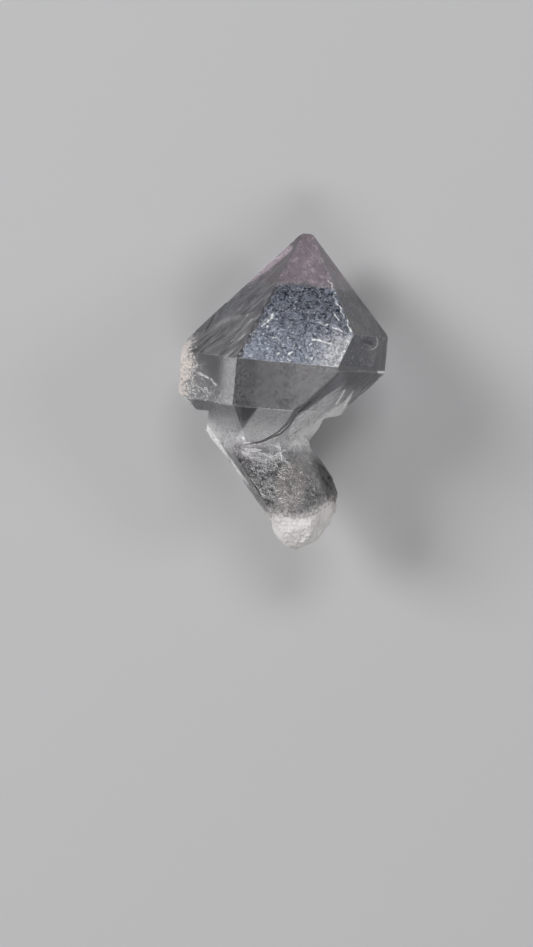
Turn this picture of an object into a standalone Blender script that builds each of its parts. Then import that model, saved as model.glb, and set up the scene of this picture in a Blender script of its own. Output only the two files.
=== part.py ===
"""A scepter quartz crystal, lying on its back prism face.

Metres, +Z up. +Y runs along the crystal's long axis from the stem to the tip, and the origin is under the
middle of its bounding box, on the surface that it lies on. The shape is worked out in millimetres about the
middle of the head, and scaled to metres at the end.
"""

import math
import random

import bmesh
import bpy
from mathutils import Matrix, Vector, noise

MM = 0.001

# Quartz: six prism faces parallel to the long axis, 60 degrees apart, with a rhombohedral face beyond each of
# their two ends.
SIDES = 6
PYRAMID_TILT = math.radians(51.79)  # from the long axis to the normal of a rhombohedral face

# Distance of each face from the middle of the head, from the top prism face round towards +X. The crystal
# lies on the fourth prism face.
PRISM_MM = (4.15, 4.10, 4.90, 4.15, 4.80, 4.20)
TIP_MM = (4.00, 4.95, 5.70, 5.40, 4.85, 4.05)
BASE_MM = (3.90, 2.60, 3.30, 4.30, 4.35, 3.90)
BLANK_MM = 24.0

# The head ends in a ragged shoulder where it grew out over the stem.
SHOULDER_MM = Vector((-2.6, -3.65, 0.0))
SHOULDER_LEAN = math.radians(17.0)

# Outline of the stem across its length, seen from above: height along Y, left edge, right edge.
STEM_OUTLINE_MM = (
    (-1.60, -2.10, 1.20),
    (-2.60, -2.55, 1.70),
    (-3.30, -2.68, 2.12),
    (-4.30, -2.02, 3.02),
    (-5.05, -1.44, 3.32),
    (-6.10, -0.56, 3.30),
    (-6.60, -0.14, 3.08),
    (-7.20, 0.20, 2.80),
    (-7.70, 0.48, 2.40),
    (-7.98, 0.80, 1.95),
    (-8.13, 1.15, 1.58),
)
STEM_TOP_MM = (3.25, 3.02, 2.72, 2.42, 2.28, 2.10, 1.95, 1.70, 1.40, 1.10, 0.75)
STEM_BACK_MM = (-1.30, -1.35, -1.40, -1.35, -1.25, -1.05, -0.90, -0.70, -0.45, -0.20, 0.10)
# Flats round the stem: the angle that each faces, from +X towards +Z, and its share of the half width. The
# flat that faces up and right has a share of its own at each height, because it is sunk under the head.
STEM_FLATS = ((90, 0.92), (162, 1.04), (190, 0.94), (225, 1.02), (272, 0.93), (338, 0.89))
SLANTED_FLAT = 35
SLANTED_SHARE = (0.50, 0.66, 0.76, 0.86, 0.87, 0.87, 0.87, 0.87, 0.87, 0.87, 0.87)
STEM_RINGS = 44
STEM_SPOKES = 46
STEM_RIDGE_MM = 0.07
STEM_PIT_MM = 0.10
STEM_LUMP_MM = 0.16
LUMPY_BELOW_MM = -6.3

# Places where the head's edges are broken back: the middle of a ragged cutter, its size, and its turn
# about Z.
BREAKS = (
    (Vector((-4.87, -1.82, 0.0)), Vector((2.42, 1.20, 9.0)), math.radians(-39.0)),
    (Vector((-4.13, -2.10, 0.0)), Vector((1.20, 1.04, 9.0)), 0.0),
    (Vector((-3.37, -3.79, 0.0)), Vector((2.20, 1.20, 9.0)), math.radians(-48.7)),
    (Vector((-5.71, 0.20, 0.0)), Vector((1.20, 2.60, 9.0)), 0.0),
    (Vector((-5.64, 1.98, 0.0)), Vector((1.20, 1.90, 9.0)), math.radians(-30.0)),
    (Vector((2.56, -2.36, 0.0)), Vector((1.20, 1.45, 9.0)), math.radians(-25.0)),
    (Vector((2.78, -1.67, 0.0)), Vector((1.10, 0.50, 9.0)), math.radians(14.5)),
)
BREAK_CUTS = 7
BREAK_ROUGHNESS_MM = 0.07

# Small crystals that grew side by side with the head, and stand out of its edges as low steps: the two faces
# that meet at the edge, the lowest and highest place along it, how many, their size, and how far they
# stand out.
STEPS = (
    (((0, 4), (0, 5)), (-0.60, 1.10), 3, (0.40, 1.10), (0.02, 0.06)),
    (((-1, 4), (-1, 5)), (-2.90, -0.80), 4, (0.35, 1.00), (0.02, 0.07)),
    (((-1, 1), (-1, 2)), (-1.80, 0.40), 4, (0.40, 1.30), (0.02, 0.07)),
    (((1, 4), (1, 5)), (1.70, 3.10), 2, (0.40, 0.80), (0.02, 0.04)),
)
STEPS_SEED = 12
NOISE_SEED = 4

# The seam where the head laps over the stem: a groove along the line that these points give, seen from above.
SEAM_MM = (
    (1.34, -0.42),
    (0.80, -1.04),
    (0.42, -1.76),
    (0.06, -2.18),
    (-0.36, -2.38),
    (-0.74, -2.69),
    (-1.12, -2.85),
)
SEAM_RADIUS_MM = 0.10


def normal_of(side, rise):
    """The direction that a face looks in: rise is 0 for a prism face, 1 over it and -1 under it."""
    turn = side * math.tau / SIDES
    out = math.sin(PYRAMID_TILT) if rise else 1.0
    return Vector((out * math.sin(turn), rise * math.cos(PYRAMID_TILT), out * math.cos(turn)))


def quartz_planes(middle, prism, tip, base):
    """The planes of a quartz crystal about its middle, as a point and a normal each."""
    planes = []
    for rise, distances in ((0, prism), (1, tip), (-1, base)):
        for side, distance in enumerate(distances):
            normal = normal_of(side, rise)
            planes.append((middle + normal * distance, normal))
    return planes


def new_object(name, mesh_maker):
    mesh = bpy.data.meshes.new(name)
    mesh_maker.to_mesh(mesh)
    mesh_maker.free()
    made = bpy.data.objects.new(name, mesh)
    bpy.context.scene.collection.objects.link(made)
    return made


def cut_block(name, middle, size, planes):
    """A block with everything outside the planes cut away."""
    block = bmesh.new()
    bmesh.ops.create_cube(block, size=size, matrix=Matrix.Translation(middle))
    for point, normal in planes:
        everything = block.verts[:] + block.edges[:] + block.faces[:]
        cut = bmesh.ops.bisect_plane(
            block, geom=everything, dist=1e-6, plane_co=point, plane_no=normal, clear_outer=True
        )
        rim = [item for item in cut["geom_cut"] if isinstance(item, bmesh.types.BMEdge)]
        if rim:
            bmesh.ops.contextual_create(block, geom=rim)
    bmesh.ops.recalc_face_normals(block, faces=block.faces[:])
    return new_object(name, block)


def combine(base, other, operation):
    """Joins other to base, or cuts it from base, and removes it."""
    boolean = base.modifiers.new("boolean", "BOOLEAN")
    boolean.solver = "EXACT"
    boolean.operation = operation
    boolean.object = other
    bpy.context.view_layer.update()
    result = bpy.data.meshes.new_from_object(base.evaluated_get(bpy.context.evaluated_depsgraph_get()))
    base.modifiers.clear()
    base.data = result
    bpy.data.objects.remove(other)


def crystal_head():
    middle = Vector((0.0, 0.0, 0.0))
    planes = quartz_planes(middle, PRISM_MM, TIP_MM, BASE_MM)
    down = Vector((-math.sin(SHOULDER_LEAN), -math.cos(SHOULDER_LEAN), 0.0))
    planes.append((SHOULDER_MM, down))
    return cut_block("scepter_crystal", middle, BLANK_MM, planes)


def distance_of(rise, side):
    return {0: PRISM_MM, 1: TIP_MM, -1: BASE_MM}[rise][side]


def height_of(rise, side, x, y):
    """How high a face of the head lies over this place."""
    normal = normal_of(side, rise)
    return (distance_of(rise, side) - normal.x * x - normal.y * y) / normal.z


def ragged_cutter(middle, size, turn):
    """A block with uneven sides, for breaking an edge away."""
    block = bmesh.new()
    bmesh.ops.create_cube(block, size=1.0)
    bmesh.ops.subdivide_edges(block, edges=block.edges[:], cuts=BREAK_CUTS, use_grid_fill=True)
    place = Matrix.Translation(middle) @ Matrix.Rotation(turn, 4, "Z")
    for vertex in block.verts:
        vertex.co = place @ Vector(a * b for a, b in zip(vertex.co, size))
        vertex.co += BREAK_ROUGHNESS_MM * noise.noise_vector(vertex.co * 2.2)
    bmesh.ops.triangulate(block, faces=block.faces[:])
    return new_object("break", block)


def grown_step(faces, place, size, rises):
    """A small crystal set parallel to the head, buried in the edge where two of its faces meet."""
    rows = [normal_of(side, rise) for rise, side in faces] + [Vector((0.0, 1.0, 0.0))]
    reach = [distance_of(rise, side) + out - size for (rise, side), out in zip(faces, rises)] + [place]
    middle = Matrix(rows).inverted() @ Vector(reach)
    even = [size] * SIDES
    return cut_block("step", middle, BLANK_MM / 4, quartz_planes(middle, even, even, even))


def drop_chips(body):
    """Leaves only the largest piece, because the breaks can cut small chips loose."""
    shape = bmesh.new()
    shape.from_mesh(body.data)
    unseen = set(shape.verts)
    pieces = []
    while unseen:
        piece = set()
        waiting = [next(iter(unseen))]
        while waiting:
            vertex = waiting.pop()
            if vertex in piece:
                continue
            piece.add(vertex)
            waiting.extend(edge.other_vert(vertex) for edge in vertex.link_edges)
        unseen -= piece
        pieces.append(piece)
    pieces.sort(key=len)
    for piece in pieces[:-1]:
        bmesh.ops.delete(shape, geom=list(piece), context="VERTS")
    shape.to_mesh(body.data)
    shape.free()


def quartz_material():
    material = bpy.data.materials.new("pale_amethyst")
    material.use_nodes = True
    shader = material.node_tree.nodes["Principled BSDF"]
    shader.inputs["Base Color"].default_value = (0.80, 0.77, 0.86, 1.0)
    shader.inputs["Roughness"].default_value = 0.08
    shader.inputs["Metallic"].default_value = 0.0
    shader.inputs["IOR"].default_value = 1.544
    shader.inputs["Transmission Weight"].default_value = 1.0
    return material


def seam_groove():
    """A thin tube along the seam, half sunk in the surface."""
    path = bpy.data.curves.new("seam", "CURVE")
    path.dimensions = "3D"
    path.bevel_depth = SEAM_RADIUS_MM
    path.bevel_resolution = 1
    path.use_fill_caps = True
    line = path.splines.new("POLY")
    line.points.add(len(SEAM_MM) - 1)
    for point, (x, y) in zip(line.points, SEAM_MM):
        height = min(height_of(-1, 0, x, y), height_of(-1, 1, x, y), height_of(0, 0, x, y))
        point.co = (x, y, height, 1.0)
    tube = bpy.data.objects.new("seam", path)
    bpy.context.scene.collection.objects.link(tube)
    bpy.context.view_layer.update()
    mesh = bpy.data.meshes.new_from_object(tube.evaluated_get(bpy.context.evaluated_depsgraph_get()))
    bpy.data.objects.remove(tube)
    welded = bmesh.new()
    welded.from_mesh(mesh)
    bmesh.ops.remove_doubles(welded, verts=welded.verts[:], dist=1e-4)
    bmesh.ops.recalc_face_normals(welded, faces=welded.faces[:])
    return new_object("seam_groove", welded)


def between(stations, values, y):
    """The value at y, on straight lines between the stations."""
    for upper, lower, first, second in zip(stations, stations[1:], values, values[1:]):
        if y >= lower or lower == stations[-1]:
            share = (upper - y) / (upper - lower)
            return first + (second - first) * share
    return values[-1]


def flat_radius(angle, slanted_share):
    """How far the stem's flats lie from its middle, in this direction, as a share of its half width."""
    reach = 2.0
    for facing, distance in STEM_FLATS + ((SLANTED_FLAT, slanted_share),):
        towards = math.cos(angle - math.radians(facing))
        if towards > 0.2:
            reach = min(reach, distance / towards)
    return reach


def stem_relief(point, angle):
    """Long ridges, small pits, and lumps towards the broken end, as a distance outwards in millimetres."""
    along = Vector((0.62, -0.785, 0.0))
    run = point.dot(along)
    across = point - along * run
    ridges = noise.noise(across * 1.9 + along * run * 0.35)
    pits = max(0.0, noise.noise(across * 3.1 + along * run * 1.5 + Vector((7.0, 0.0, 0.0))) - 0.18)
    lumps = noise.noise(point * 1.25 + Vector((0.0, 3.0, 0.0)))
    end = min(1.0, max(0.0, (LUMPY_BELOW_MM + 0.5 - point.y) / 1.0))
    return (1 - end) * (STEM_RIDGE_MM * ridges - STEM_PIT_MM * pits) + end * STEM_LUMP_MM * lumps


def crystal_stem():
    heights = [station[0] for station in STEM_OUTLINE_MM]
    lefts = [station[1] for station in STEM_OUTLINE_MM]
    rights = [station[2] for station in STEM_OUTLINE_MM]
    stem = bmesh.new()
    rings = []
    for ring in range(STEM_RINGS):
        y = heights[0] + (heights[-1] - heights[0]) * ring / (STEM_RINGS - 1)
        left, right = between(heights, lefts, y), between(heights, rights, y)
        top, back = between(heights, STEM_TOP_MM, y), between(heights, STEM_BACK_MM, y)
        middle = Vector(((left + right) / 2, y, (top + back) / 2))
        points = []
        for spoke in range(STEM_SPOKES):
            angle = math.tau * spoke / STEM_SPOKES
            reach = flat_radius(angle, between(heights, SLANTED_SHARE, y))
            out = Vector((math.cos(angle) * (right - left) / 2, 0.0, math.sin(angle) * (top - back) / 2))
            point = middle + out * reach
            points.append(stem.verts.new(point + out.normalized() * stem_relief(point, angle)))
        rings.append(points)
    for upper, lower in zip(rings, rings[1:]):
        for spoke in range(STEM_SPOKES):
            following = (spoke + 1) % STEM_SPOKES
            stem.faces.new((upper[spoke], upper[following], lower[following], lower[spoke]))
    stem.faces.new(rings[0])
    end = Vector((0.0, 0.0, 0.0))
    for vertex in rings[-1]:
        end += vertex.co / STEM_SPOKES
    tip = stem.verts.new(end + Vector((0.0, -0.1, 0.0)))
    for spoke in range(STEM_SPOKES):
        stem.faces.new((rings[-1][spoke], rings[-1][(spoke + 1) % STEM_SPOKES], tip))
    bmesh.ops.recalc_face_normals(stem, faces=stem.faces[:])
    bmesh.ops.triangulate(stem, faces=stem.faces[:])
    return new_object("stem", stem)


for leftover in list(bpy.data.objects):
    bpy.data.objects.remove(leftover)

noise.seed_set(NOISE_SEED)
draw = random.Random(STEPS_SEED)

crystal = crystal_head()
for faces, (low, high), count, sizes, rises in STEPS:
    for number in range(count):
        place = low + (high - low) * (number + draw.uniform(0.2, 0.8)) / count
        outwards = (draw.uniform(*rises), draw.uniform(*rises))
        combine(crystal, grown_step(faces, place, draw.uniform(*sizes), outwards), "UNION")
for middle, size, turn in BREAKS:
    combine(crystal, ragged_cutter(middle, size, turn), "DIFFERENCE")
drop_chips(crystal)
combine(crystal, crystal_stem(), "UNION")
combine(crystal, seam_groove(), "DIFFERENCE")
drop_chips(crystal)

corners = [Vector(corner) for corner in crystal.bound_box]
middle = (corners[0] + corners[6]) / 2
crystal.data.transform(Matrix.Translation((-middle.x, -middle.y, -corners[0].z)))
crystal.data.transform(Matrix.Scale(MM, 4))
crystal.data.materials.clear()
crystal.data.materials.append(quartz_material())

specimen = bpy.data.collections.new("amethyst_scepter_quartz")
bpy.context.scene.collection.children.link(specimen)
specimen.objects.link(crystal)
bpy.context.scene.collection.objects.unlink(crystal)
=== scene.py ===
"""A scepter quartz crystal lying on its back prism face, on a pale floor. Metres, +Z up, tip along +Y."""

import math

import bmesh
import bpy
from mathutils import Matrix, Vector, geometry


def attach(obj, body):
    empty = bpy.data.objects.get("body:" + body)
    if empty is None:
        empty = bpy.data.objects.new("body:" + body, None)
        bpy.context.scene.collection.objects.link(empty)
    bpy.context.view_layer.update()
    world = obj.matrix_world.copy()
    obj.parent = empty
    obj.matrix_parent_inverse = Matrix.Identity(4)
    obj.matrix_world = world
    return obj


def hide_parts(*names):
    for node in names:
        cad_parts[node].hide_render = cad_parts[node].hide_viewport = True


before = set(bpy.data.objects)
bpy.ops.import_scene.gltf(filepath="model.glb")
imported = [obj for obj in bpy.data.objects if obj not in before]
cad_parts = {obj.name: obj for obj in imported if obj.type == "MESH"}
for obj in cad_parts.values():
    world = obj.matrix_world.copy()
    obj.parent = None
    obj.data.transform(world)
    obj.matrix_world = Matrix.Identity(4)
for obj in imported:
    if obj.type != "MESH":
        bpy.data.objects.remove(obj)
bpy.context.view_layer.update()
bpy.ops.object.select_all(action="DESELECT")

# --------------------------------------------------------------------------------------------------
# The crystal
# One piece of quartz: a wide clear head, with a pyramid at both ends, over its narrow older stem.
# Its faces grew flat and glassy in a rock pocket, and are etched, frosted or broken here and there.
# Places are in millimetres below, and a share or a weight runs from 0 to 1.
# --------------------------------------------------------------------------------------------------

MM = 0.001
PYRAMID_TILT = math.radians(51.79)
WELD = 1e-7
FLAT_WITHIN = math.radians(0.3)
SAME_FACE = 0.9995
ON_FACE_WITHIN = 0.004
MAIN_FACE_AREA = 0.30 * MM * MM
MAIN_EDGE_ANGLE = math.radians(20.0)
SMOOTH_BELOW = math.radians(50.0)
EDGE_WEAR = 0.032 * MM
FLAT_AREA = 0.009 * MM * MM
FINE_PITCH = 0.045 * MM
PITCH = 0.08 * MM
HEAD_FOOT_Y = -1.2
STEM_TOP_Y = -3.2
SIDES = 6
TOP_SIDE, RIGHT_SIDE, LEFT_SIDE = 0, 1, 5
TIP, PRISM, FOOT = 1, 0, -1
GLASSY, WORN = 0, 1
LEFT_EDGE_FOOT = (-2.49, 1.53)
LEFT_EDGE_SLOPE = 0.455
LONGEST_RUN = 2.0
WOBBLE = 0.05
WOBBLE_RATES = (17.0, 13.0)
BUMP_DEPTH = 0.03 * MM
QUARTZ_IOR = 1.544
ABSORPTION_COLOUR = (0.26, 0.23, 0.28, 1.0)
ABSORPTION = 90.0


def face_normal(side, end):
    """The direction a quartz face looks in. Sides count from the TOP_SIDE; end is TIP, PRISM or FOOT."""
    turn = side * math.tau / SIDES
    out = math.sin(PYRAMID_TILT) if end else 1.0
    return Vector((out * math.sin(turn), end * math.cos(PYRAMID_TILT), out * math.cos(turn)))


def make_active(piece):
    bpy.ops.object.select_all(action="DESELECT")
    piece.select_set(True)
    bpy.context.view_layer.objects.active = piece


def select_faces(piece, wanted):
    """In edit mode, selects each face for which wanted(face) holds."""
    bpy.ops.mesh.select_mode(type="FACE")
    bpy.ops.mesh.select_all(action="DESELECT")
    shape = bmesh.from_edit_mesh(piece.data)
    for face in shape.faces:
        face.select_set(wanted(face))
    bmesh.update_edit_mesh(piece.data)


def select_edges(piece, wanted):
    """In edit mode, selects each edge for which wanted(edge) holds."""
    bpy.ops.mesh.select_mode(type="EDGE")
    bpy.ops.mesh.select_all(action="DESELECT")
    shape = bmesh.from_edit_mesh(piece.data)
    for edge in shape.edges:
        edge.select_set(wanted(edge))
    bmesh.update_edit_mesh(piece.data)


def slice_selected(piece, direction, pitch):
    """Cuts the selected faces along parallel planes, a pitch apart."""
    shape = bmesh.from_edit_mesh(piece.data)
    reach = [corner.co.dot(direction) for corner in shape.verts if corner.select]
    bpy.ops.mesh.hide(unselected=True)
    cut = min(reach) + pitch / 2
    while cut < max(reach):
        bpy.ops.mesh.select_all(action="SELECT")
        bpy.ops.mesh.bisect(plane_co=direction * cut, plane_no=direction, threshold=WELD)
        cut += pitch
    bpy.ops.mesh.reveal(select=False)


def grid_face(piece, side, end, pitch):
    """Gives one of the head's faces a square grid, so that relief can be worked into it."""
    normal = face_normal(side, end)
    level = Vector((0.0, 1.0, 0.0)).cross(normal).normalized()
    for direction in (level, normal.cross(level)):
        select_faces(piece, lambda face: face.normal.dot(normal) > SAME_FACE)
        slice_selected(piece, direction, pitch)


def is_main_edge(edge):
    """Whether the edge lies between two large faces."""
    if not edge.is_manifold or edge.calc_face_angle() < MAIN_EDGE_ANGLE:
        return False
    return min(face.calc_area() for face in edge.link_faces) > MAIN_FACE_AREA


def smooth_step(low, high, value):
    share = min(1.0, max(0.0, (value - low) / (high - low)))
    return share * share * (3.0 - 2.0 * share)


def weigh(piece, name, weight_of):
    """A vertex group with weight_of(place in millimetres) for each corner where that is over zero."""
    group = piece.vertex_groups.new(name=name)
    for corner in piece.data.vertices:
        weight = weight_of(corner.co / MM)
        if weight > 0.0:
            group.add([corner.index], min(1.0, weight), "REPLACE")


def carve(piece, group, depth, texture=None, along=(0.0, 1.0, 0.0), stretch=1.0):
    """Pushes a group's corners in, by a procedural texture that is drawn out along one direction."""
    guide = bpy.data.objects.new("guide", None)
    bpy.context.scene.collection.objects.link(guide)
    guide.rotation_euler = Vector(along).to_track_quat("Y", "Z").to_euler()
    guide.scale = (1.0, stretch, 1.0)
    bpy.context.view_layer.update()
    relief = piece.modifiers.new(group, "DISPLACE")
    relief.vertex_group = group
    relief.strength = -depth
    relief.mid_level = 0.0
    if texture:
        relief.texture = texture
        relief.texture_coords = "OBJECT"
        relief.texture_coords_object = guide
    make_active(piece)
    bpy.ops.object.modifier_apply(modifier=relief.name)
    bpy.data.objects.remove(guide)


def cloud_texture(name, size):
    texture = bpy.data.textures.new(name, "CLOUDS")
    texture.noise_scale = size
    texture.noise_depth = 1
    return texture


def worm_texture(name, size, half_width=0.14):
    """Curly channels: bright where smooth noise passes its middle value."""
    texture = cloud_texture(name, size)
    texture.use_color_ramp = True
    ramp = texture.color_ramp
    for element, position in zip(ramp.elements, (0.5 - half_width, 0.5 + half_width)):
        element.position = position
        element.color = (0.0, 0.0, 0.0, 1.0)
    ramp.elements.new(0.5).color = (1.0, 1.0, 1.0, 1.0)
    return texture


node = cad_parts["scepter_crystal"]
crystal = bpy.data.objects.new("clear_quartz", node.data.copy())
bpy.context.scene.collection.objects.link(crystal)
make_active(crystal)
crystal.data.materials.clear()
for _ in (GLASSY, WORN):
    crystal.data.materials.append(None)
bpy.ops.object.mode_set(mode="EDIT")
bpy.ops.mesh.select_all(action="SELECT")
bpy.ops.mesh.remove_doubles(threshold=WELD)
bpy.ops.mesh.dissolve_limited(angle_limit=FLAT_WITHIN)
select_edges(crystal, is_main_edge)
bpy.ops.mesh.bevel(offset=EDGE_WEAR, segments=1, affect="EDGES", clamp_overlap=True, material=WORN)
grid_face(crystal, LEFT_SIDE, PRISM, PITCH)
grid_face(crystal, RIGHT_SIDE, FOOT, PITCH)
grid_face(crystal, TOP_SIDE, TIP, FINE_PITCH)
select_faces(crystal, lambda face: face.calc_center_median().y < STEM_TOP_Y * MM)
bpy.ops.mesh.quads_convert_to_tris()
bpy.ops.mesh.subdivide(number_cuts=2)
bpy.ops.object.mode_set(mode="OBJECT")

head_corners = [corner.co / MM for corner in crystal.data.vertices if corner.co.y > HEAD_FOOT_Y * MM]
face_reach = {}
for side in range(SIDES):
    for end in (TIP, PRISM, FOOT):
        normal = face_normal(side, end)
        face_reach[side, end] = max(corner.dot(normal) for corner in head_corners)


def on_face(place, side, end):
    """Whether a place lies on one of the head's faces."""
    return abs(place.dot(face_normal(side, end)) - face_reach[side, end]) < ON_FACE_WITHIN


def etched(place):
    """The front face of the tip is etched all over, except near the point and along its left edge."""
    x, y, _ = place
    if not on_face(place, TOP_SIDE, TIP):
        return 0.0
    left = LEFT_EDGE_FOOT[0] + (y - LEFT_EDGE_FOOT[1]) * LEFT_EDGE_SLOPE
    right = 2.45 + (y - 1.5) * 0.40 if y < 3.1 else 3.05 - (y - 3.1) * 0.46
    shape = smooth_step(left + 0.02, left + 0.60, x) * smooth_step(right, right - 0.3, x)
    return shape * smooth_step(5.45, 4.95, y) * smooth_step(1.53, 1.62, y)


def grooved(place):
    """The lower right face has grooves near its ragged bottom edge."""
    _, y, z = place
    return on_face(place, RIGHT_SIDE, FOOT) * smooth_step(6.3, 4.2, z) * smooth_step(1.2, 0.5, y)


def streaked(place):
    """The left prism face has a few curved streaks near its frosted corner."""
    x, y, _ = place
    return on_face(place, LEFT_SIDE, PRISM) * smooth_step(-3.3, -3.9, x) * smooth_step(1.1, 0.7, y)


def near_lines(place, half_width, *routes):
    """1 on jagged routes through given places, falling to 0 at the half width."""
    wobble = (math.sin(WOBBLE_RATES[0] * place.y), math.sin(WOBBLE_RATES[1] * place.x), 0.0)
    place = place + WOBBLE * Vector(wobble)
    closest = half_width
    for route in routes:
        for start, finish in zip(route, route[1:]):
            if abs(place.y - start[1]) > LONGEST_RUN:
                continue
            near, share = geometry.intersect_point_line(place, Vector(start), Vector(finish))
            if share < 0.0:
                near = Vector(start)
            elif share > 1.0:
                near = Vector(finish)
            closest = min(closest, (place - near).length)
    return 1.0 - smooth_step(0.3 * half_width, half_width, closest)


ETCH_CRACKS = (
    ((1.77, 5.60, 5.08), (2.02, 5.18, 5.41), (2.08, 4.69, 5.80), (2.23, 4.51, 5.94), (2.44, 4.13, 6.23),
     (2.54, 3.85, 6.46)),
    ((1.24, 3.54, 6.70), (1.87, 3.46, 6.77), (2.41, 3.22, 6.96)),
    ((-1.40, 3.30, 6.89), (-1.10, 3.50, 6.73), (-0.80, 3.84, 6.47)),
)
LOWER_RIGHT_STREAKS = (
    ((2.88, 0.21, 5.56), (2.74, -0.33, 4.95)),
    ((3.45, 0.32, 4.75), (3.29, -0.55, 3.72)),
)


def cracked(place):
    """Cracks cross the etched face, and two bright streaks run down the lower right face."""
    if on_face(place, TOP_SIDE, TIP):
        return near_lines(place, 0.055, *ETCH_CRACKS)
    if on_face(place, RIGHT_SIDE, FOOT):
        return near_lines(place, 0.09, *LOWER_RIGHT_STREAKS)
    return 0.0


def stem(place):
    """The stem, from a little below the head."""
    return smooth_step(STEM_TOP_Y, STEM_TOP_Y - 0.6, place.y)


weigh(crystal, "etched", etched)
weigh(crystal, "grooved", grooved)
weigh(crystal, "streaked", streaked)
weigh(crystal, "cracked", cracked)
weigh(crystal, "stem", stem)
# Bevelled edges are kept as a share for the material, which whitens them as frosted wear and, more on the
# right, as a painted highlight.
wear_and_sheen = crystal.data.attributes.new("wear_and_sheen", "FLOAT", "FACE")
for face, value in zip(crystal.data.polygons, wear_and_sheen.data):
    value.value = float(face.material_index == WORN)
    face.material_index = GLASSY
whitened = crystal.data.attributes.new("whitened", "FLOAT", "POINT")
crack_group = crystal.vertex_groups["cracked"].index
for corner, value in zip(crystal.data.vertices, whitened.data):
    for membership in corner.groups:
        if membership.group == crack_group:
            value.value = membership.weight

GRAIN = (0.62, -0.785, 0.0)
DOWN_THE_FACE = (0.12, 0.64, 0.76)
ACROSS_THE_CORNER = (0.8, -0.4, 0.4)
etching = worm_texture("etching", 0.20 * MM)
grooves = cloud_texture("grooves", 0.16 * MM)
streaks = worm_texture("streaks", 0.30 * MM)
striations = cloud_texture("striations", 0.24 * MM)
pits = worm_texture("pits", 0.30 * MM, half_width=0.08)
carve(crystal, "etched", 0.075 * MM, etching, stretch=2.2)
carve(crystal, "grooved", 0.16 * MM, grooves, DOWN_THE_FACE, stretch=7.0)
carve(crystal, "streaked", 0.08 * MM, streaks, ACROSS_THE_CORNER, stretch=3.0)
carve(crystal, "cracked", 0.05 * MM)
carve(crystal, "stem", 0.06 * MM, striations, GRAIN, stretch=4.0)
carve(crystal, "stem", 0.03 * MM, pits, GRAIN, stretch=1.8)

make_active(crystal)
bpy.ops.object.shade_smooth_by_angle(angle=SMOOTH_BELOW)
for face in crystal.data.polygons:
    if face.area > FLAT_AREA:
        face.use_smooth = False


class Field:
    """A number that varies over a surface, worked out by shader nodes."""

    def __init__(self, tree, socket):
        self.tree = tree
        self.socket = socket

    def worked(self, operation, other=0.0):
        node = self.tree.nodes.new("ShaderNodeMath")
        node.operation = operation
        self.tree.links.new(self.socket, node.inputs[0])
        if isinstance(other, Field):
            self.tree.links.new(other.socket, node.inputs[1])
        else:
            node.inputs[1].default_value = other
        return Field(self.tree, node.outputs[0])

    def __add__(self, other):
        return self.worked("ADD", other)

    def __sub__(self, other):
        return self.worked("SUBTRACT", other)

    def __mul__(self, other):
        return self.worked("MULTIPLY", other)

    __radd__ = __add__

    def __rsub__(self, other):
        return self * -1.0 + other

    def capped(self):
        return self.worked("MINIMUM", 1.0)

    def step(self, low, high):
        """Rises smoothly from 0 at low to 1 at high. Either may be the larger."""
        node = self.tree.nodes.new("ShaderNodeMapRange")
        node.interpolation_type = "SMOOTHSTEP"
        self.tree.links.new(self.socket, node.inputs["Value"])
        node.inputs["From Min"].default_value = low
        node.inputs["From Max"].default_value = high
        return Field(self.tree, node.outputs["Result"])


def new_shader(name):
    """A new material, its node tree and its Principled shader."""
    material = bpy.data.materials.new(name)
    material.use_nodes = True
    return material, material.node_tree, material.node_tree.nodes["Principled BSDF"]


def place_in_mm(tree, turn=0.0, stretch=1.0, depth=1.0):
    """Object coordinates in millimetres. A pattern on them is drawn out along Y and turned about Z."""
    coordinates = tree.nodes.new("ShaderNodeTexCoord")
    mapping = tree.nodes.new("ShaderNodeMapping")
    mapping.vector_type = "TEXTURE"
    mapping.inputs["Rotation"].default_value = (0.0, 0.0, math.radians(turn))
    mapping.inputs["Scale"].default_value = (MM, stretch * MM, depth * MM)
    tree.links.new(coordinates.outputs["Object"], mapping.inputs["Vector"])
    return mapping.outputs["Vector"]


def attribute_field(tree, name):
    node = tree.nodes.new("ShaderNodeAttribute")
    node.attribute_name = name
    return Field(tree, node.outputs["Fac"])


def noise_field(tree, place, scale, detail, twist=0.0):
    node = tree.nodes.new("ShaderNodeTexNoise")
    node.inputs["Scale"].default_value = scale
    node.inputs["Detail"].default_value = detail
    node.inputs["Distortion"].default_value = twist
    tree.links.new(place, node.inputs["Vector"])
    return Field(tree, node.outputs["Fac"])


def ring(x, y, middle, size, half_width):
    """1 along an ellipse's outline, and 0 away from it."""
    across = (x - middle[0]) * (1.0 / size[0])
    along = (y - middle[1]) * (1.0 / size[1])
    radius = (across * across + along * along).worked("POWER", 0.5)
    return (radius - 1.0).worked("ABSOLUTE").step(half_width, half_width * 0.3)


def route_gap(x, y, *routes):
    """The distance in plan to the nearest of some routes made of straight runs."""
    closest = None
    for route in routes:
        for start, finish in zip(route, route[1:]):
            run = Vector(finish) - Vector(start)
            heading = run.normalized()
            along = (x - start[0]) * heading.x + (y - start[1]) * heading.y
            along = along.worked("MAXIMUM", 0.0).worked("MINIMUM", run.length)
            east = x - start[0] - along * heading.x
            north = y - start[1] - along * heading.y
            gap = (east * east + north * north).worked("POWER", 0.5)
            if closest is None:
                closest = gap
            else:
                closest = closest.worked("MINIMUM", gap)
    return closest


def lines(noise, half_width):
    """1 along the curly lines where a noise passes its middle value, and 0 away from them."""
    return (noise - 0.5).worked("ABSOLUTE").step(half_width, half_width * 0.2)


def tint(tree, colour, second, share):
    """Blends a second colour over the first, by a share that varies over the surface."""
    node = tree.nodes.new("ShaderNodeMix")
    node.data_type = "RGBA"
    tree.links.new(share.socket, node.inputs["Factor"])
    if isinstance(colour, tuple):
        node.inputs[6].default_value = colour
    else:
        tree.links.new(colour, node.inputs[6])
    node.inputs[7].default_value = second
    return node.outputs[2]


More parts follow.
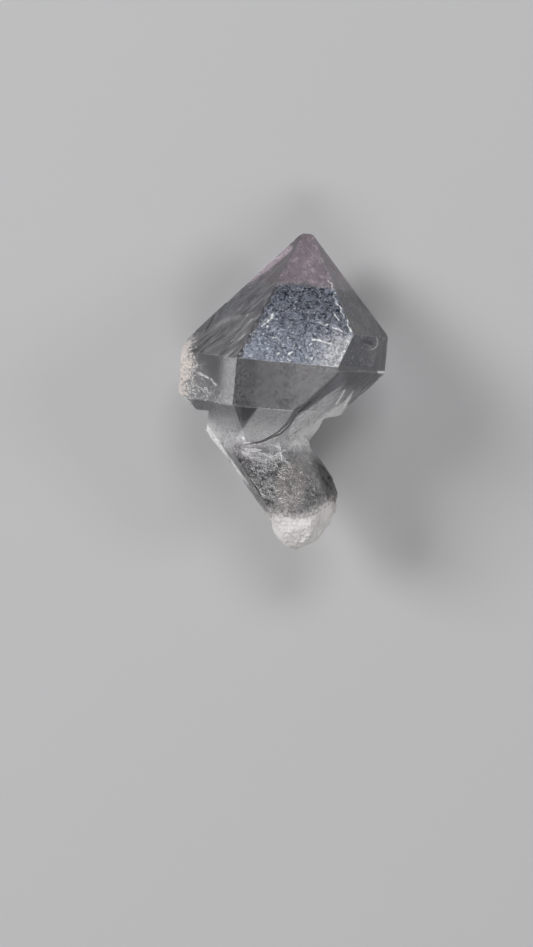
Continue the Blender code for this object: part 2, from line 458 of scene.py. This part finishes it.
CLEAR = (0.90, 0.89, 0.90, 1.0)
MAUVE = (0.62, 0.53, 0.585, 1.0)
BLUE_GREY = (0.58, 0.65, 0.80, 1.0)
NAVY = (0.05, 0.07, 0.12, 1.0)
PINK = (0.84, 0.68, 0.76, 1.0)
DARK = (0.02, 0.02, 0.022, 1.0)
STEM_GREY = (0.42, 0.42, 0.425, 1.0)
BEIGE = (0.78, 0.70, 0.65, 1.0)
WHITE = (0.92, 0.92, 0.91, 1.0)


def quartz_material():
    """Clear quartz with a violet tip, with etched, streaked, frosted and milky places, and with painted
    shade and painted highlights.
    """
    material, tree, shader = new_shader("amethyst_quartz")
    parts = tree.nodes.new("ShaderNodeSeparateXYZ")
    place = place_in_mm(tree)
    tree.links.new(place, parts.inputs[0])
    x, y, z = (Field(tree, output) for output in parts.outputs)
    whitened = attribute_field(tree, "whitened")
    wear_and_sheen = attribute_field(tree, "wear_and_sheen")

    # Patterns that wander over the surface.
    mottle = noise_field(tree, place, 1.6, 4.0)
    grit = noise_field(tree, place, 6.5, 3.0, 0.4)
    bits = noise_field(tree, place, 4.1, 1.0).step(0.56, 0.66)
    specks = noise_field(tree, place_in_mm(tree, 38.0, 1.7), 5.0, 4.0, 1.0)
    corner_streaks = lines(noise_field(tree, place_in_mm(tree, 62.0, 1.8, 9.0), 3.6, 2.0, 1.4), 0.05)
    upper_streaks = noise_field(tree, place_in_mm(tree, -50.0, 5.0), 5.0, 4.0, 0.8)
    lower_streaks = noise_field(tree, place_in_mm(tree, -42.0, 5.0), 6.0, 3.0, 0.8)
    long_streaks = noise_field(tree, place_in_mm(tree, 4.0, 4.0), 3.5, 3.0, 0.4)
    worms = noise_field(tree, place, 4.4, 1.5, 1.6)
    glint = lines(noise_field(tree, place, 5.5, 0.0), 0.05) * bits
    uneven = grit - 0.5
    wander = mottle - 0.5

    # Where each face lies, by its edges.
    from_left_edge = x - LEFT_EDGE_FOOT[0] - (y - LEFT_EDGE_FOOT[1]) * LEFT_EDGE_SLOPE
    past_right_edge = x - 2.31 - (y - 1.51) * 0.45
    above_prism = y.step(1.50, 1.53)
    top_prism = z.step(8.26, 8.28)
    foot = y.step(-0.70, -0.74)
    past_upper_edge = x - 3.03 + (y - 3.11) * 0.455
    tip_face = above_prism * from_left_edge.step(-0.02, 0.02) * past_right_edge.step(0.02, -0.02)
    tip_face = tip_face * past_upper_edge.step(0.02, -0.02)
    upper_left = above_prism * from_left_edge.step(0.02, -0.02) * z.step(4.0, 4.3)
    left_tip = above_prism * from_left_edge.step(0.02, -0.02)
    upper_right = y.step(3.08, 3.13) * past_upper_edge.step(-0.02, 0.02) * z.step(3.2, 3.5)
    right_prism = y.step(3.13, 3.08) * y.step(1.28, 1.33) * x.step(2.4, 2.6) * z.step(3.3, 3.5)
    left_prism = y.step(1.53, 1.48) * y.step(-0.80, -0.74) * x.step(-2.45, -2.53) * z.step(3.8, 4.0)
    lower_right = y.step(1.36, 1.30) * z.step(8.28, 8.25) * x.step(0.3, 0.6) * y.step(-3.0, -2.0)
    lower_left = foot * x.step(-1.9, -2.4) * y.step(-3.0, -2.4) * z.step(3.4, 4.0)
    lower_front = foot * y.step(-2.8, -2.2) * (x + y * -0.53).step(-1.0, -0.8) * z.step(6.0, 6.6)

    # The violet tip, and the etched face below it.
    mauve = (y + wander * 0.8).step(5.0, 5.5)
    etching = tip_face * (from_left_edge + uneven * 0.8).step(0.02, 0.25)
    etching = etching * (y + uneven * 0.3).step(5.3, 5.15)
    veil = tip_face * (x - y * 0.35 + uneven).step(-0.2, 1.6) * (y + uneven).step(3.6, 2.6)
    pink_gap = route_gap(x + wander * 0.2, y, ((-2.0, 5.45), (-1.1, 6.25), (-0.25, 7.1)))
    pink_band = left_tip * mauve * pink_gap.step(0.30, 0.08)
    upper_arc = route_gap(x, y + uneven * 0.2, ((-4.6, 2.07), (-4.07, 2.55), (-3.37, 3.1), (-2.5, 3.5)))
    upper_arc = upper_left * upper_arc.step(0.20, 0.0) * upper_streaks.step(0.35, 0.60)
    dark_patch = upper_left * (y - x * 0.8).step(5.8, 6.0) * x.step(-2.9, -3.8)

    # Painted highlights: short sparkles at listed places on the etched face.
    sparkles = route_gap(x + uneven * 0.08, y + uneven * 0.08,
                         ((-1.18, 2.02), (-1.06, 2.08)), ((-0.06, 1.90), (0.10, 2.01)),
                         ((-0.08, 1.66), (0.02, 1.61)), ((0.90, 2.44), (1.02, 2.49)),
                         ((-1.15, 3.07), (-1.12, 3.12)), ((2.10, 3.96), (2.32, 3.70)),
                         ((2.70, 3.78), (2.74, 3.50), (2.90, 3.25)),
                         ((1.05, 2.70), (1.46, 2.67), (1.96, 2.56)), ((-1.40, 3.10), (-0.92, 3.54)))
    sparkles = etching * (sparkles + uneven * 0.20).step(0.05, 0.0)

    # The prism faces.
    # Painted shade: a dark strip on the top prism face and a dark V on the face below it.
    dark_v = foot * (x + y * -0.53).step(-0.9, -1.1)
    dark_strip = (top_prism + dark_v).capped()
    dark_strip = dark_strip * x.step(-1.35, -1.60) * from_left_edge.step(-0.6, 0.0)
    rim = (x * -1.0 + wander * 1.6 + uneven * 1.4).step(4.35, 4.85) * y.step(2.8, 1.6) * z.step(2.2, 3.6)
    corner = left_prism * (x * -1.0 - y * 0.9).step(2.8, 4.2)
    corner_marks = route_gap(x + uneven * 0.15, y + uneven * 0.15,
                             ((-4.2, 0.56), (-3.85, 0.45), (-3.54, 0.34), (-3.33, 0.10)),
                             ((-4.64, 0.80), (-4.46, 0.62)))
    corner_marks = left_prism * (corner_marks + wander * 0.25).step(0.08, 0.0)
    arc = route_gap(x + uneven * 0.1, y + uneven * 0.1,
                    ((4.46, 3.0), (4.53, 2.80), (4.48, 2.62), (4.32, 2.50), (4.10, 2.44), (3.75, 2.42)))
    arc = right_prism * (arc + uneven * 0.15).step(0.07, 0.0) * x.step(3.6, 4.4)
    # Painted shade inside the crescent on the right prism face.
    crescent_shade = route_gap(x + uneven * 0.2, y + uneven * 0.15, ((3.66, 2.81), (4.16, 2.76)))
    crescent_shade = right_prism * crescent_shade.step(0.18, 0.05)
    right_fibres = right_prism * x.step(4.2, 4.8) * long_streaks.step(0.52, 0.66)
    # A painted highlight at the bottom of the right prism face.
    glinting = route_gap(x, y, ((4.74, 1.36), (5.20, 1.36))).step(0.10, 0.04)

    # The lower faces of the head.
    band_edge = z + x * 0.415 + uneven * 0.4
    dark_band = lower_right * band_edge.step(7.75, 7.95)
    bright_low = lower_right * band_edge.step(7.85, 7.5) * x.step(3.8, 1.6)
    # Painted shade in the upper right corner of the lower right face.
    dark_corner = lower_right * x.step(2.5, 3.1) * y.step(0.0, 0.9)
    right_silhouette = x - 5.16 - (y - 1.32) * 1.15 + uneven * 0.6
    right_band = lower_right * right_silhouette.step(-0.45, -0.1) * x.step(3.7, 3.2)
    lower_marks = route_gap(x + uneven * 0.15, y,
                            ((2.98, 0.32), (2.90, 0.08), (2.74, -0.36)), ((3.52, 0.34), (3.25, -0.55)))
    lower_marks = lower_right * (lower_marks + wander * 0.2).step(0.09, 0.0)
    # A seam crosses the lower faces: a groove in the bump, with painted shade along it and a paler core.
    seam_gap = route_gap(x + uneven * 0.14, y + uneven * 0.10,
                         ((2.40, 1.25), (1.13, -0.29), (0.54, -0.78), (0.23, -1.46), (-0.09, -1.86),
                          (-0.52, -2.17), (-0.92, -2.40), (-1.74, -2.66)))
    seam_width = x.step(-1.3, 0.9) * 0.13 - x.step(1.2, 2.2) * 0.10 + 0.025
    seam = (seam_gap - seam_width).step(0.03, -0.02) * y.step(1.36, 1.30) * z.step(6.0, 6.4)
    pale_core = (seam_gap - seam_width * 0.4).step(0.02, -0.03) * x.step(0.4, 0.1)
    seam = seam * x.step(-1.9, -1.2) * (1.0 - pale_core * 0.8)

    # The stem.
    neck = y.step(-1.0, -2.4)
    whole_stem = (y + wander * 1.2).step(-2.3, -3.9)
    # Painted shade on the stem's right side.
    stem_right_shade = whole_stem * (x - 1.5 + (y + 2.8) * 0.52).step(-0.15, 0.15)
    calm = ring(x, y, (0.75, -4.5), (0.45, 0.75), 1.0) * 0.8
    clusters = (noise_field(tree, place, 0.9, 3.0) - x * 0.06).step(0.44, 0.62)
    dirt = whole_stem * specks.step(0.44, 0.60) * (0.45 + clusters * 0.55) * (1.0 - calm)
    end_depth = y + x.step(1.7, 2.9) * -0.9 + wander * 1.0 + uneven * 1.2
    milky = end_depth.step(-5.4, -6.5) * whole_stem
    grained = neck * (0.3 + whole_stem * 0.7) * (1.0 - milky) + bright_low * 0.8
    left_silhouette = x + 3.51 + (y + 2.18) * 0.88 + uneven * 0.2
    left_band = foot * left_silhouette.step(0.20, -0.02) * y.step(-5.2, -4.0)
    left_band = left_band * z.step(2.6, 4.2) * grit.step(0.2, 0.5)
    frosty_patch = foot * left_silhouette.step(1.0, 0.2) * z.step(2.6, 4.0)
    frosty_patch = frosty_patch * y.step(-1.3, -2.0) * y.step(-3.4, -2.6)

    # Painted shade, colours, pale marks and painted highlights, each over the last.
    # Painted shade: the upper left face, darker away from the front tip face, the upper right face and a
    # little of the right prism face.
    shade = upper_left * (0.15 + from_left_edge.step(-0.2, -1.6) * 0.3)
    colour = tint(tree, CLEAR, DARK, shade + upper_right * 0.7 + right_prism * 0.1)
    fibres = upper_streaks.step(0.48, 0.64) * (0.3 + from_left_edge.step(-0.3, -2.2) * 0.5)
    colour = tint(tree, colour, DARK, upper_left * fibres * 1.3 + dark_patch * 0.45)
    colour = tint(tree, colour, MAUVE, mauve)
    # Painted shade over the violet tip: on its left part and its upper right face, with some streaks.
    tip_shade = left_tip * 0.6 + upper_right * 0.3 + long_streaks.step(0.5, 0.3) * 0.15
    colour = tint(tree, colour, DARK, mauve * tip_shade)
    colour = tint(tree, colour, PINK, pink_band * 0.8)
    colour = tint(tree, colour, BLUE_GREY, etching * (1.0 - veil * 0.8))
    # Painted shade: navy in the etched face's curly channels, heavier towards its upper right.
    deep_end = y * 0.6 + x * 0.4
    navy_shade = etching * (1.0 - veil * 0.6) * (0.42 + deep_end.step(0.0, 3.6) * 0.65)
    colour = tint(tree, colour, NAVY, navy_shade * (worms + deep_end * 0.014 - 0.014).step(0.47, 0.56))
    # Painted shade: the mottled dark strip and dark V; also a darker band on the lower right face.
    strip_share = dark_strip * (0.1 + grit.step(0.36, 0.66) * 0.4) * (0.32 + top_prism * 0.68)
    colour = tint(tree, colour, DARK, strip_share + dark_band * 0.35)
    patches = top_prism * mottle.step(0.48, 0.60) * grit.step(0.48, 0.62)
    colour = tint(tree, colour, DARK, patches * 0.5 + lower_left * y.step(-1.6, -0.8) * 0.35)
    colour = tint(tree, colour, STEM_GREY, whole_stem)
    # Dark specks over the stem, and painted shade on its right side.
    colour = tint(tree, colour, DARK, dirt * 0.8 + stem_right_shade * (0.7 + mottle * 0.4))
    rough_marks = (lower_left + neck * 0.7).capped() * (1.0 - whole_stem)
    colour = tint(tree, colour, DARK, rough_marks * grit.step(0.52, 0.68) * (0.2 + mottle * 0.7))
    # Painted shade: dark streaks on the lower right face, heavier to its right, and its shaded corner.
    lower_shade = lower_streaks.step(0.46, 0.64) * (0.25 + x.step(1.6, 3.0) * 0.3) * (1.0 - dark_band)
    lower_share = (lower_right * lower_shade + dark_corner * 0.9).capped()
    colour = tint(tree, colour, DARK, lower_share)
    # Painted shade along the seam and inside the crescent.
    colour = tint(tree, colour, DARK, (seam * 0.75 + crescent_shade * 0.9).capped())
    colour = tint(tree, colour, DARK, (grained * worms.step(0.50, 0.60) * 0.5).capped())
    warm = rim * (0.5 + grit * 0.8) + calm * whole_stem * 0.5 + milky * 0.8
    colour = tint(tree, colour, BEIGE, warm.capped())
    marks_and_highlights = corner * corner_streaks * 0.6 + corner_marks * (0.2 + grit.step(0.40, 0.58) * 0.6)
    # Painted highlights: glints on the lower part of the etched face.
    marks_and_highlights = marks_and_highlights + etching * y.step(4.8, 2.6) * glint * 0.9
    pale_grooves = lower_right * x.step(1.8, 3.2) * lines(lower_streaks, 0.03)
    marks_and_highlights = marks_and_highlights + pale_grooves * (0.55 - dark_corner * 0.35)
    marks_and_highlights = marks_and_highlights + upper_left * x.step(-1.8, -3.4) * lines(upper_streaks, 0.02) * 0.4
    marks_and_highlights = marks_and_highlights + upper_arc * 0.3 + right_fibres * 0.12
    marks_and_highlights = marks_and_highlights + grained * lines(worms, 0.05) * 0.22
    marks_and_highlights = marks_and_highlights + lower_marks * 0.9 + left_band * 0.9 + right_band * 0.7
    # The crescent's pale outline, and a painted highlight at the bottom of the right prism face.
    marks_and_highlights = marks_and_highlights + arc * 0.5 + glinting
    # Painted highlight sparkles on the etched face, and the whitened cracks.
    marks_and_highlights = marks_and_highlights + sparkles + whitened * grit.step(0.35, 0.52) * 0.9
    # Bevelled edges whitened as frosted wear, and more on the right as a painted highlight.
    marks_and_highlights = marks_and_highlights + wear_and_sheen * (0.5 + x.step(1.5, 2.8) * 0.4)
    marks_and_highlights = marks_and_highlights + etching * lines(worms, 0.05) * 0.25 + veil * worms.step(0.5, 0.4) * 0.2
    colour = tint(tree, colour, WHITE, (milky * 0.6 + marks_and_highlights).capped())
    tree.links.new(colour, shader.inputs["Base Color"])

    # How much of the light is scattered at the surface instead of going in.
    cloudy = 0.03 + top_prism * (0.10 + x.step(-1.5, 2.0) * 0.08)
    cloudy = cloudy + mauve * 0.26 + neck * 0.30 + veil * 0.14
    cloudy = cloudy + etching * (0.08 + y.step(5.0, 1.6) * 0.20 + mottle.step(0.40, 0.62) * 0.12)
    cloudy = cloudy + lower_front * 0.30 + bright_low * 0.65
    cloudy = cloudy + left_prism * x.step(-3.4, -2.7) * 0.25
    cloudy = cloudy + corner * 0.12 + rim * 0.7 + frosty_patch * 0.3
    cloudy = cloudy - whole_stem * 0.08 - stem_right_shade * 0.3
    cloudy = cloudy + pink_band * 0.22 + mauve * long_streaks.step(0.5, 0.7) * 0.15
    cloudy = cloudy + lower_left * x.step(-4.0, -2.8) * 0.15 - left_tip * mauve * 0.15
    pale_fibres = upper_streaks.step(0.50, 0.36) * from_left_edge.step(-2.6, -0.4)
    pale_fibres = pale_fibres * y.step(5.6, 3.2) * 0.22
    cloudy = cloudy + upper_left * (pale_fibres + upper_streaks.step(0.48, 0.40) * 0.05)
    cloudy = cloudy + top_prism * (wander * 0.25 + uneven * 0.12)
    cloudy = cloudy * (0.85 + grit.step(0.30, 0.70) * 0.3) + milky * 0.7 + marks_and_highlights * 0.75
    cloudy = cloudy - upper_right * 0.03 - dark_corner * 0.2
    cloudy = cloudy.worked("MINIMUM", 0.95).worked("MAXIMUM", 0.0)
    tree.links.new((1.0 - cloudy).socket, shader.inputs["Transmission Weight"])

    rough = 0.01 + etching * 0.02 + neck * 0.03 + rim * 0.3 + milky * 0.3 + veil * 0.1 + left_band * 0.3
    tree.links.new(rough.socket, shader.inputs["Roughness"])
    shader.inputs["IOR"].default_value = QUARTZ_IOR

    bump = tree.nodes.new("ShaderNodeBump")
    bump.inputs["Distance"].default_value = BUMP_DEPTH
    height = grit * (rough_marks * 0.8 + rim * 3.0 + milky * 2.0) + specks * whole_stem * 1.0
    height = height + long_streaks * milky * 4.0 - seam * 1.5 + worms * etching * 1.5
    height = height - corner * corner_streaks * 2.0 + lower_right * lower_streaks * 2.0
    height = height + upper_left * upper_streaks * 1.2
    tree.links.new(height.socket, bump.inputs["Height"])
    tree.links.new(bump.outputs["Normal"], shader.inputs["Normal"])

    absorb = tree.nodes.new("ShaderNodeVolumeAbsorption")
    absorb.inputs["Color"].default_value = ABSORPTION_COLOUR
    absorb.inputs["Density"].default_value = ABSORPTION
    tree.links.new(absorb.outputs[0], tree.nodes["Material Output"].inputs["Volume"])
    return material


crystal.data.materials.clear()
crystal.data.materials.append(quartz_material())
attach(crystal, "root")
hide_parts("scepter_crystal")

# --------------------------------------------------------------------------------------------------
# The studio
# A plain pale floor, soft lights, and a camera that looks down on the crystal.
# --------------------------------------------------------------------------------------------------

FLOOR_GAP = 0.02 * MM
FLOOR_GREY = (0.52, 0.52, 0.525, 1.0)
WORLD_GREY = (0.10, 0.10, 0.105, 1.0)
CAMERA_PLACE = Vector((-4.015, 2.890, 74.135)) * MM
CAMERA_ANGLES = (math.radians(-6.029), math.radians(-2.434), math.radians(5.193))


def plain_material(name, colour, roughness):
    material, _, shader = new_shader(name)
    shader.inputs["Base Color"].default_value = colour
    shader.inputs["Roughness"].default_value = roughness
    return material


bpy.ops.mesh.primitive_plane_add(size=2.0, location=(0.0, 0.0, -FLOOR_GAP))
floor = bpy.context.object
floor.name = "floor"
floor.data.materials.append(plain_material("pale_floor", FLOOR_GREY, 0.9))


def softbox(name, place, aim, size, power):
    """A rectangular light at a place, turned to face its aim. The power is in watts."""
    light = bpy.data.lights.new(name, "AREA")
    light.shape = "RECTANGLE"
    light.size, light.size_y = size
    light.energy = power
    box = bpy.data.objects.new(name, light)
    bpy.context.scene.collection.objects.link(box)
    towards = Vector(aim) - Vector(place)
    box.rotation_euler = towards.to_track_quat("-Z", "Y").to_euler()
    box.location = place


middle = (0.0, 0.0, 0.004)
softbox("key", (-0.32, 0.10, 0.22), middle, (0.14, 0.14), 1.06)
softbox("tip_side", (0.00, 0.26, 0.32), middle, (0.20, 0.10), 0.48)
softbox("stem_side", (0.00, -0.26, 0.32), middle, (0.20, 0.10), 0.40)
softbox("fill", (0.32, 0.06, 0.22), middle, (0.14, 0.10), 0.26)

world = bpy.data.worlds.new("studio")
bpy.context.scene.world = world
world.use_nodes = True
world.node_tree.nodes["Background"].inputs["Color"].default_value = WORLD_GREY

lens = bpy.data.cameras.new("camera")
lens.sensor_fit = "VERTICAL"
lens.sensor_height = 24.0
lens.lens = 35.48
lens.clip_start = 0.001
camera = bpy.data.objects.new("camera", lens)
bpy.context.scene.collection.objects.link(camera)
camera.location = CAMERA_PLACE
camera.rotation_euler = CAMERA_ANGLES
bpy.context.scene.camera = camera

bpy.context.scene.view_settings.view_transform = "Standard"
